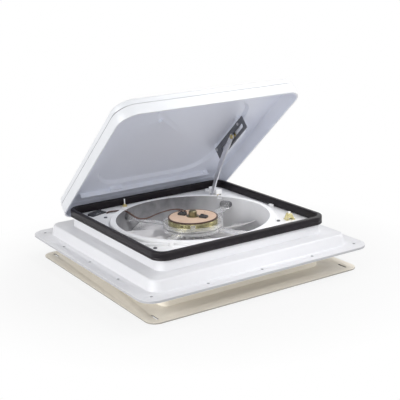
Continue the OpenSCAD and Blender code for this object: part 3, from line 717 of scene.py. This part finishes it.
def section(mesh: BMesh, shape: Sequence[Point], steps: int = 4, along: float = 0.0) -> list[BMEdge]:
    """Draws a closed section that faces along Y, and rounds its corners.

    Args:
        mesh: The mesh to draw in.
        shape: Each corner's x, z and rounding in order, with rounding 0 for a sharp one.
        steps: Segments in each rounding.
        along: The section's place along Y.

    Returns:
        The edges of the section, with no face in it.
    """
    face = mesh.faces.new([mesh.verts.new((x * MM, along * MM, z * MM)) for x, z, _ in shape])
    level = face.verts[0].co.y
    for vert, (_, _, rounding) in list(zip(face.verts, shape)):
        if rounding > 0.0:
            ease(mesh, [vert], rounding, steps, "VERTICES")
    flat = [f for f in mesh.faces if all(abs(v.co.y - level) < IN_PLANE for v in f.verts)]
    edges = unique(e for f in flat for e in f.edges)
    bmesh.ops.delete(mesh, geom=flat, context="FACES_ONLY")
    return edges


def lathe(mesh: BMesh, edges: list[BMEdge], steps: int) -> None:
    """Turns a section once round the upright axis."""
    verts = unique(v for e in edges for v in e.verts)
    bmesh.ops.spin(mesh, geom=verts + edges, cent=MIDDLE, axis=UP, angle=math.tau, steps=steps,
                   use_merge=True)


def sweep_square(mesh: BMesh, edges: list[BMEdge], straight: float, steps: int) -> None:
    """Carries a section round a square with rounded corners.

    Args:
        mesh: The mesh that holds the section, which stands on the +X side at the start of that side.
        edges: The section's edges.
        straight: Half the length of a straight side.
        steps: Segments in each corner.
    """
    reach = straight * MM
    for quarter in range(4):
        turn = Matrix.Rotation(quarter * math.pi / 2, 3, "Z")
        grown = bmesh.ops.extrude_edge_only(mesh, edges=edges)["geom"]
        bmesh.ops.translate(mesh, vec=turn @ Vector((0.0, 2 * reach, 0.0)), verts=only(grown, BMVert))
        ends = [part for part in grown if not isinstance(part, BMFace)]
        centre = turn @ Vector((reach, reach, 0.0))
        turned = bmesh.ops.spin(mesh, geom=ends, cent=centre, axis=UP, angle=math.pi / 2, steps=steps)
        edges = only(turned["geom_last"], BMEdge)
    close_up(mesh)


def tube(mesh: BMesh, route: Sequence[Vector], radius: float, sides: int) -> None:
    """Draws a round tube along a route with closed ends.

    Args:
        mesh: The mesh to draw in.
        route: Points on the tube's centre line, in metres.
        radius: Radius of the tube.
        sides: Sides of its section.
    """
    last = len(route) - 1
    ways = [(route[min(i + 1, last)] - route[max(i - 1, 0)]).normalized() for i in range(len(route))]
    stand = Matrix.Translation(route[0]) @ Vector(UP).rotation_difference(ways[0]).to_matrix().to_4x4()
    ring = bmesh.ops.create_circle(mesh, cap_ends=True, radius=radius * MM, segments=sides, matrix=stand)
    faces = unique(f for v in ring["verts"] for f in v.link_faces)
    for i in range(1, len(route)):
        grown = bmesh.ops.extrude_face_region(mesh, geom=faces)["geom"]
        if i > 1:
            bmesh.ops.delete(mesh, geom=faces, context="FACES_ONLY")
        verts, faces = only(grown, BMVert), only(grown, BMFace)
        bend = ways[i - 1].rotation_difference(ways[i]).to_matrix()
        bmesh.ops.rotate(mesh, verts=verts, cent=route[i - 1], matrix=bend)
        bmesh.ops.translate(mesh, verts=verts, vec=route[i] - route[i - 1])


def smooth_route(points: Sequence[Vector], steps: int) -> list[Vector]:
    """A smooth curve through points.

    Args:
        points: Points that the curve passes.
        steps: Steps from each point to the next.

    Returns:
        Points along the curve, the last one included.
    """
    last = len(points) - 1
    route: list[Vector] = []
    for i in range(last):
        a, b, c, d = (points[min(max(k, 0), last)] for k in range(i - 1, i + 3))
        square = 2 * a - 5 * b + 4 * c - d
        cube = 3 * b - a - 3 * c + d
        for t in (k / steps for k in range(steps)):
            route.append(0.5 * (2 * b + (c - a) * t + square * t ** 2 + cube * t ** 3))
    return route + [points[-1].copy()]


# Sub-assemblies


@dataclass
class DomeSeal:
    """The rubber seal that grips the throat's wall, with a soft crown and a fine draw line outside."""

    half: float = 185.4
    corner: float = 26.0
    top: float = 60.3
    height: float = 15.5
    wide: float = 9.4
    crown: float = 3.0
    leg: float = 4.75
    grip: float = 2.8
    groove_top: float = 57.25
    line: Pair = (4.2, 5.2)
    line_depth: float = 0.35
    line_slope: float = 0.3

    def build(self) -> None:
        """Sweeps the seal's section round the throat."""
        low, outer = self.top - self.height, self.half
        inner, leg, deep = outer - self.wide, outer - self.leg, outer - self.line_depth
        grip = leg - self.grip
        start, end = (low + height for height in self.line)
        shape = (
            (outer, low, 0.4), (outer, start, 0.0), (deep, start + self.line_slope, 0.0),
            (deep, end - self.line_slope, 0.0), (outer, end, 0.0), (outer, self.top, self.crown),
            (inner, self.top, self.crown), (inner, low, 0.4), (grip, low, 0.3), (grip, self.groove_top, 0.4),
            (leg, self.groove_top, 0.4), (leg, low, 0.3))
        mesh = bmesh.new()
        straight = self.half - self.corner
        edges = section(mesh, shape, steps=6, along=-straight)
        sweep_square(mesh, edges, straight, steps=20)
        add_piece("seal_strip", mesh, "base", "seal_rubber", "dome_seal", sharp=50.0)


@dataclass
class FanRotor:
    """The ten-bladed rotor: a hub cup with a bore boss, and swept blades of clear plastic."""

    blades: int = 10
    hub_radius: float = 30.0
    hub_top: float = 22.0
    hub_low: float = -14.0
    wall: float = 3.0
    boss_radius: float = 9.0
    boss_depth: float = 12.0
    bore: float = 4.02
    tip_radius: float = 146.0
    root: float = 2.0
    thick: float = 1.7
    blade_edge: float = 0.5
    rim_angle: float = 60.0
    chord: Pair = (30.0, 2.0)
    sweep: float = 10.0
    fall: Pair = (31.0, 9.0)
    camber: float = 10.0
    level: float = 3.0
    climb: float = 2.0
    tip_share: float = 0.2
    tip_pull: float = 0.06

    def bend(self, across: float, along: float) -> Vector:
        """Where a point of a blade lies.

        Args:
            across: Share of the chord, from -0.5 to 0.5.
            along: Share of the span, from 0 at the hub to 1 at the tip.

        Returns:
            The point in metres.
        """
        start = self.hub_radius - self.root
        radius = start + (self.tip_radius - start) * along
        chord, fall = (root - loss * along for root, loss in (self.chord, self.fall))
        turn = math.radians(chord * across + self.sweep * along ** 2)
        height = self.level - fall * across - self.camber * (0.25 - across ** 2) + self.climb * along
        return Vector((radius * math.cos(turn), radius * math.sin(turn), height)) * MM

    def draw_blades(self, mesh: BMesh) -> None:
        """Draws one blade and turns copies of it round the axis.

        Args:
            mesh: The empty mesh to draw in.
        """
        bmesh.ops.create_grid(mesh, x_segments=16, y_segments=22, size=0.5)
        for vert in mesh.verts:
            along = vert.co.y + 0.5
            tip = max(0.0, (along - (1.0 - self.tip_share)) / self.tip_share)
            vert.co = self.bend(vert.co.x * (1.0 - self.tip_pull * tip ** 3), along)
        bmesh.ops.solidify(mesh, geom=mesh.faces[:], thickness=self.thick * MM)
        bmesh.ops.recalc_face_normals(mesh, faces=mesh.faces)
        rim = [e for e in mesh.edges if e.calc_face_angle(0.0) > math.radians(self.rim_angle)]
        ease(mesh, rim, self.blade_edge, steps=2)
        bmesh.ops.translate(mesh, verts=mesh.verts, vec=(0.0, 0.0, 0.5 * self.thick * MM))
        blade = mesh.verts[:] + mesh.edges[:] + mesh.faces[:]
        copies = self.blades - 1
        bmesh.ops.spin(mesh, geom=blade, cent=MIDDLE, axis=UP, angle=math.tau * copies / self.blades,
                       steps=copies, use_duplicate=True)

    def build(self) -> None:
        """Draws the blades, turns the hub cup with its boss, and joins them."""
        mesh, hub = bmesh.new(), bmesh.new()
        self.draw_blades(mesh)
        bore, outer, top, low = self.bore, self.hub_radius, self.hub_top, self.hub_low
        inner, under = outer - self.wall, top - self.wall
        boss, foot = self.boss_radius, top - self.boss_depth
        shape = ((bore, top, 0.4), (outer, top, 3.0), (outer, low, 0.6), (inner, low, 0.6),
                 (inner, under, 2.0), (boss, under, 1.0), (boss, foot, 0.6), (bore, foot, 0.3))
        lathe(hub, section(hub, shape), steps=72)
        close_up(hub)
        turned = settle("hub_scratch", hub)
        mesh.from_mesh(turned)
        bpy.data.meshes.remove(turned)
        add_piece("fan_blades", mesh, "fan", "clear_plastic", "fan_rotor", sharp=40.0,
                  finish="blade_plastic")


@dataclass
class ScreenNet:
    """The insect screen: two crossing layers of fine wire in a flat bound rim."""

    radius: float = 147.5
    rim_outer: float = 149.1
    rim_inner: float = 145.1
    rim_edge: float = 0.25
    low: float = -31.2
    high: float = -30.3
    pitch: float = 2.2
    wire: float = 0.24
    lift: float = 0.9

    def build(self) -> None:
        """Lays the wires and binds them."""
        mesh = bmesh.new()
        middle, lift, wire = 0.5 * (self.low + self.high), self.lift * self.wire, self.wire * MM
        count = int(self.radius / self.pitch)
        for step in range(-count, count + 1):
            off = step * self.pitch
            length = 2.0 * math.sqrt(self.radius ** 2 - off ** 2)
            for height, quarter in ((middle + lift, 0.0), (middle - lift, math.pi / 2)):
                lay = Matrix.Rotation(quarter, 4, "Z") @ Matrix.Translation((0.0, off * MM, height * MM))
                bmesh.ops.create_cone(mesh, cap_ends=True, segments=6, radius1=wire, radius2=wire,
                                      depth=length * MM, matrix=lay @ Matrix.Rotation(math.pi / 2, 4, "Y"))
        inner, outer = self.rim_inner, self.rim_outer
        corners = ((inner, self.low), (outer, self.low), (outer, self.high), (inner, self.high))
        edges = section(mesh, [(*corner, self.rim_edge) for corner in corners], steps=3)
        lathe(mesh, edges, steps=120)
        close_up(mesh)
        add_piece("net_wires", mesh, "base", "net_wire", "screen_net", sharp=50.0)


@dataclass
class MotorLeads:
    """The motor's two leads, held from the speed switch over the rim to the brush terminals."""

    radius: float = 1.1
    apart: float = 2.7
    route: tuple[Point, ...] = (
        (-127, 140, -10.8), (-124, 146, 5), (-117, 150, 28), (-114, 149, 40), (-111, 147.5, 45.4),
        (-104, 144, 46.6), (-96, 141.5, 46.6), (-87, 137.6, 46.6), (-80, 127.5, 46.4), (-76, 119, 43),
        (-69, 109, 36), (-62, 104, 32.6), (-52, 101, 31.4), (-42, 98, 33.4), (-31, 91, 39), (-17, 76, 46.5),
        (-7, 61, 51.6), (1, 47, 53), (4, 36.9, 52))
    second_end: tuple[Point, ...] = ((-5, 47, 53), (-4, 36.9, 52))

    def second(self) -> list[Vector]:
        """The second lead's points, laid beside the first and ending at its own terminal.

        Returns:
            Points in millimetres.
        """
        points = [Vector(p) for p in self.route]
        beside = []
        for i in range(len(points) - len(self.second_end)):
            way = (points[i + 1] - points[max(i - 1, 0)]).normalized()
            beside.append(points[i] + self.apart * way.cross(Vector(UP)).normalized())
        return beside + [Vector(p) for p in self.second_end]

    def build(self) -> None:
        """Draws both leads."""
        mesh = bmesh.new()
        for points in ([Vector(p) for p in self.route], self.second()):
            tube(mesh, [p * MM for p in smooth_route(points, steps=5)], self.radius, sides=12)
        bmesh.ops.recalc_face_normals(mesh, faces=mesh.faces)
        add_piece("lead_pair", mesh, "base", "brown", "motor_leads", sharp=60.0)


@dataclass
class BrushGear:
    """Two brush holders on the motor's board, each a bevelled box with a wound spring on top."""

    turns: Pair = (118.0, 298.0)
    radius: float = 24.0
    floor: float = 49.8
    box: Point = (16.0, 10.0, 4.6)
    box_edge: float = 0.6
    coil_at: float = -3.0
    coil_low: float = 5.0
    coil_radius: float = 3.0
    coil_pitch: float = 0.5
    coil_turns: int = 3
    coil_steps: int = 24
    coil_end: Point = (8.5, 1.0, 5.2)
    wire: float = 0.42

    def coil(self) -> list[Vector]:
        """The spring's centre line on its holder.

        Returns:
            Points in millimetres.
        """
        points = []
        for step in range(self.coil_turns * self.coil_steps + 1):
            angle = step * math.tau / self.coil_steps
            x, y = self.coil_at + self.coil_radius * math.cos(angle), self.coil_radius * math.sin(angle)
            points.append(Vector((x, y, self.coil_low + self.coil_pitch * step / self.coil_steps)))
        return points + [Vector(self.coil_end)]

    def build(self) -> None:
        """Makes a holder and its spring on either side."""
        mesh = bmesh.new()
        stand = Matrix.Translation(Vector((self.radius, 0.0, self.floor)) * MM)
        size = Matrix.Diagonal((*(Vector(self.box) * MM), 1.0))
        lift = Matrix.Translation((0.0, 0.0, 0.5 * self.box[2] * MM))
        for turn in self.turns:
            seat = Matrix.Rotation(math.radians(turn), 4, "Z") @ stand
            cube = bmesh.ops.create_cube(mesh, size=1.0, matrix=seat @ lift @ size)["verts"]
            ease(mesh, unique(e for v in cube for e in v.link_edges), self.box_edge, steps=3)
            tube(mesh, [seat @ (p * MM) for p in self.coil()], self.wire, sides=8)
        bmesh.ops.recalc_face_normals(mesh, faces=mesh.faces)
        add_piece("brush_gear", mesh, "base", "black_plastic", "brush_spring", sharp=40.0)


@dataclass
class CrankKnob:
    """The hand knob under the ceiling: a scalloped disc with a dished face and a bored hub."""

    centre: Pair = (131.0, 131.22)
    radius: float = 15.0
    low: float = -42.0
    disc_top: float = -34.5
    hub_top: float = -31.5
    hub_radius: float = 7.0
    bore: float = 2.62
    bore_floor: float = 3.5
    dish: float = 1.0
    dish_radius: float = 10.4
    lip_radius: float = 11.8
    plain_radius: float = 9.0
    scallops: int = 8
    cut_at: float = 17.0
    cut_radius: float = 4.0
    steps: int = 160

    def reach(self, turn: float) -> float:
        """The knob's radius at an angle, between and in its scallops.

        Args:
            turn: The angle in radians.

        Returns:
            The radius in millimetres.
        """
        pitch = 360.0 / self.scallops
        off = math.radians((math.degrees(turn) + pitch / 2) % pitch - pitch / 2)
        inside = self.cut_radius ** 2 - (self.cut_at * math.sin(off)) ** 2
        if inside <= 0.0:
            return self.radius
        return min(self.radius, self.cut_at * math.cos(off) - math.sqrt(inside))

    def scallop(self, vert: BMVert) -> None:
        """Draws a point of the turned knob in where a scallop passes.

        Args:
            vert: A point of the knob, with the axis at the origin.
        """
        away = vert.co.xy.length / MM
        share = min(max((away - self.plain_radius) / (self.radius - self.plain_radius), 0.0), 1.0)
        eased = share * share * (3.0 - 2.0 * share)
        pull = 1.0 - eased * (1.0 - self.reach(math.atan2(vert.co.y, vert.co.x)) / self.radius)
        vert.co.x *= pull
        vert.co.y *= pull

    def build(self) -> None:
        """Turns the knob's section and presses the scallops into its rim."""
        mesh = bmesh.new()
        low, face, floor = self.low, self.low + self.dish, self.low + self.bore_floor
        rim, disc, hub, bore = self.radius, self.disc_top, self.hub_radius, self.bore
        shape = (
            (0.0, face, 0.0), (self.dish_radius, face, 0.8), (self.lip_radius, low, 0.5), (rim, low, 1.0),
            (rim, disc, 0.8), (hub, disc, 0.4), (hub, self.hub_top, 0.5), (bore, self.hub_top, 0.2),
            (bore, floor, 0.0), (0.0, floor, 0.0))
        edges = section(mesh, shape)
        axis = [e for e in edges if all(v.co.x < ON_AXIS for v in e.verts)]
        edges = [e for e in edges if e not in axis]
        bmesh.ops.delete(mesh, geom=axis, context="EDGES")
        lathe(mesh, edges, self.steps)
        close_up(mesh, ON_AXIS)
        for vert in mesh.verts:
            self.scallop(vert)
        bmesh.ops.translate(mesh, verts=mesh.verts, vec=Vector((*self.centre, 0.0)) * MM)
        add_piece("hand_knob", mesh, "crank", "knob_white", "crank_knob", sharp=40.0)


@dataclass
class EasedShell:
    """A moulded shell with its sharp edges eased, as a mould leaves them."""

    node: str
    body: str
    slot: str
    offset: float
    angle: float = 40.0
    flat: float = 0.3

    def build(self) -> None:
        """Eases the edges of a merged copy of the solid."""
        mesh = bmesh.new()
        mesh.from_mesh(frame["nodes"][self.node].data)
        bmesh.ops.remove_doubles(mesh, verts=mesh.verts, dist=MERGE)
        flat, limit = math.radians(self.flat), math.radians(self.angle)
        bmesh.ops.dissolve_limit(mesh, angle_limit=flat, verts=mesh.verts, edges=mesh.edges)
        sharp = [e for e in mesh.edges if e.is_manifold and e.calc_face_angle(0.0) > limit]
        ease(mesh, sharp, self.offset, steps=2)
        add_piece(self.node + "_shell", mesh, self.body, self.slot, self.node, sharp=30.0)


@dataclass
class CadNodes:
    """The solids that stay as they are, each with the finish of its record slot or one of its own."""

    own: dict[str, str] = field(default_factory=lambda: {
        "mount_blocks": "grey_rubber", "lift_arm": "arm_steel", "bearing_cap": "aged_brass",
        "deck_bracket": "bracket_steel"})

    def dress(self) -> None:
        """Gives every CAD node its finish."""
        slots = {part["node"]: part["material_slot"] for part in frame["record"]["subparts"]}
        for name, node in frame["nodes"].items():
            WARDROBE.dress(node, self.own.get(name, slots[name]))
        log.info("dressed %d solids in %d finishes", len(frame["nodes"]), len(WARDROBE.made))


# Studio


@dataclass(frozen=True)
class Lamp:
    """One soft area lamp that looks at the object."""

    name: str
    place: Point
    size: Pair
    power: float
    aim: Point = (0.0, 0.0, 0.05)
    spread: float = 180.0

    def build(self) -> None:
        """Hangs the lamp."""
        data = bpy.data.lights.new(self.name, "AREA")
        data.shape, data.energy, data.spread = "ELLIPSE", self.power, math.radians(self.spread)
        data.size, data.size_y = self.size
        lamp = link(self.name, data)
        way = Vector(self.aim) - Vector(self.place)
        lamp.matrix_world = Matrix.Translation(self.place) @ way.to_track_quat("-Z", "Y").to_matrix().to_4x4()


@dataclass(frozen=True)
class Studio:
    """Plain pale floor, soft lamps, white surroundings and the photograph's camera."""

    floor_z: float = -0.0445
    floor_half: float = 9.0
    floor_grey: float = 0.7
    floor_roughness: float = 0.9
    floor_white: float = 0.84
    floor_fade: Pair = (0.3, 0.5)
    ambient: float = 0.36
    lens: float = 80.5
    sensor: float = 36.0
    far: float = 60.0
    place: Point = (-0.8778, -1.4327, 0.5485)
    right: Point = (0.84234, -0.53785, -0.03439)
    up: Point = (0.17195, 0.20773, 0.96295)
    back: Point = (-0.51078, -0.81705, 0.26746)
    lamps: tuple[Lamp, ...] = (
        Lamp("right_lamp", (1.55, -0.15, 1.7), (1.1, 1.1), 19.5),
        Lamp("front_lamp", (0.35, -1.25, 2.2), (0.7, 0.7), 3.0),
        Lamp("left_lamp", (-2.1, -0.1, 0.75), (1.4, 0.8), 19.0),
        Lamp("low_left_lamp", (-1.9, -1.2, 0.12), (1.8, 0.3), 9.0),
        Lamp("low_lamp", (0.5, -2.2, 0.12), (2.0, 0.3), 4.0),
        Lamp("low_right_lamp", (2.0, -0.8, 0.6), (1.0, 0.4), 7.0),
        Lamp("deck_lamp", (0.25, -1.5, 1.5), (0.4, 0.4), 0.3, (0.0, 0.02, 0.05), 17.0))

    @staticmethod
    def seen(graph: Graph) -> Socket:
        """Tells looking from lighting.

        Args:
            graph: The graph that needs to know.

        Returns:
            1 where the camera, a mirror or a clear piece looks, 0 where light bounces.
        """
        path = graph.put("LightPath").outputs
        mirrored = graph.math("MAXIMUM", path["Is Camera Ray"], path["Is Glossy Ray"])
        return graph.math("MAXIMUM", mirrored, path["Is Transmission Ray"])

    def camera(self) -> None:
        """Sets the camera at the photograph's viewing angle."""
        data = bpy.data.cameras.new("photo_camera")
        data.lens, data.sensor_width, data.clip_end = self.lens, self.sensor, self.far
        camera = link("photo_camera", data)
        turn = Matrix((self.right, self.up, self.back)).transposed().to_4x4()
        camera.matrix_world = Matrix.Translation(self.place) @ turn
        bpy.context.scene.camera = camera

    def world(self) -> None:
        """White surroundings for the eye, and an even pale light for the object."""
        world = bpy.data.worlds.new("studio_room")
        bpy.context.scene.world = world
        world.use_nodes = True
        graph = Graph(world.node_tree)
        shade = world.node_tree.nodes["Background"]
        graph.feed(shade.inputs["Color"], WHITE)
        graph.feed(shade.inputs["Strength"], graph.span(self.seen(graph), self.ambient, 1.0))

    def floor(self) -> None:
        """Lays the floor, which keeps the object's soft shadow and fades to white."""
        mesh = bmesh.new()
        bmesh.ops.create_grid(mesh, x_segments=1, y_segments=1, size=self.floor_half,
                              matrix=Matrix.Translation((0.0, 0.0, self.floor_z)))
        floor = link("studio_floor", settle("studio_floor", mesh))
        material = bpy.data.materials.new("pale_floor")
        material.use_nodes = True
        graph = Graph(material.node_tree)
        shader = material.node_tree.nodes["Principled BSDF"]
        graph.feed(shader.inputs["Base Color"], (self.floor_grey,) * 3)
        graph.feed(shader.inputs["Roughness"], self.floor_roughness)
        away = graph.span(graph.length(graph.coordinate("Object")), self.floor_white, 1.0, *self.floor_fade)
        white = graph.put("Emission", {"Color": WHITE, "Strength": 1.0}).outputs["Emission"]
        share = graph.times(self.seen(graph), away)
        mixed = graph.put("MixShader", {0: share, 1: shader.outputs["BSDF"], 2: white})
        graph.feed(material.node_tree.nodes["Material Output"].inputs["Surface"], mixed.outputs["Shader"])
        floor.data.materials.append(material)

    def build(self) -> None:
        """Sets up camera, surroundings, floor and lamps."""
        bpy.context.scene.view_settings.view_transform = "Standard"
        self.camera()
        self.world()
        self.floor()
        for lamp in self.lamps:
            lamp.build()
        log.info("studio set with %d lamps", len(self.lamps))


def main() -> None:
    """Builds the studio and every piece."""
    logging.basicConfig(level=logging.INFO, format="%(name)s: %(message)s")
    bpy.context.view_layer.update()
    Studio().build()
    CadNodes().dress()
    shells = (EasedShell("base_frame", "base", "white_shell", 0.8),
              EasedShell("garnish", "base", "beige", 0.6), EasedShell("lid_shell", "lid", "lid_white", 0.35))
    for assembly in (DomeSeal(), FanRotor(), ScreenNet(), MotorLeads(), BrushGear(), CrankKnob(), *shells):
        assembly.build()


if __name__ == "__main__":
    main()
